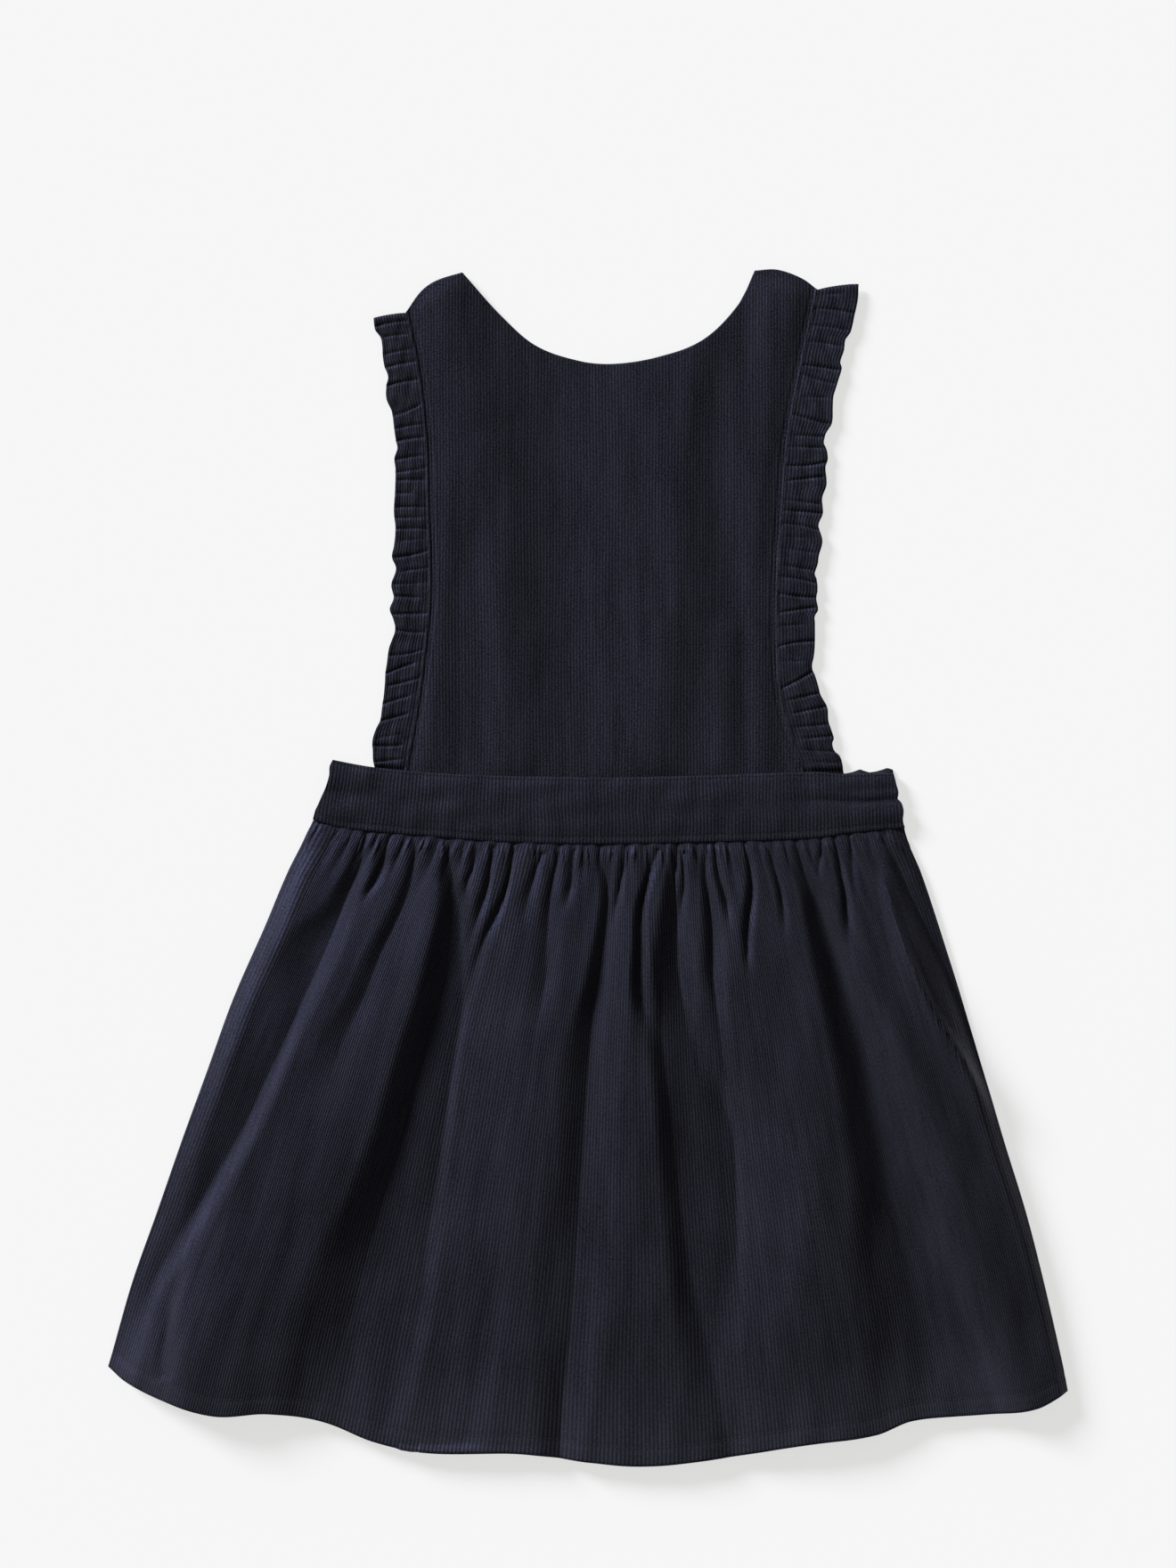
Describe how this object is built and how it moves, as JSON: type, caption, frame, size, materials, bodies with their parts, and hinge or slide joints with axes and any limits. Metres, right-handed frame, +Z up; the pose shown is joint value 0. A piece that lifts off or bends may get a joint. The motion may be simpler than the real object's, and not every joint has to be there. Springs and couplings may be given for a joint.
{
  "type": "pinafore dress",
  "caption": "Girl's needlecord pinafore dress laid flat: scoop-necked bib with ruffled armholes, waistband and gathered skirt, front uppermost.",
  "frame": {"origin": "on the surface that the dress lies on, under the middle of its bounding box", "axes": "+Z up off the surface, out of the dress's front; +Y from hem to shoulders; +X to the viewer's right, looking down on the front"},
  "size_m": [0.4356, 0.543, 0.0113],
  "materials": {
    "needlecord": "matt cotton needlecord, fine upright ribs of short pile, very dark navy with a soft bluish sheen",
    "thread": "spun polyester sewing thread, dark navy"
  },
  "bodies": {
    "root": {"bodice_front": "needlecord", "strap_back_left": "needlecord", "strap_back_right": "needlecord", "ruffle_left": "needlecord", "ruffle_right": "needlecord", "waistband_front": "needlecord", "waistband_back": "needlecord", "skirt_front": "needlecord", "skirt_back": "needlecord"}
  },
  "joints": []
}
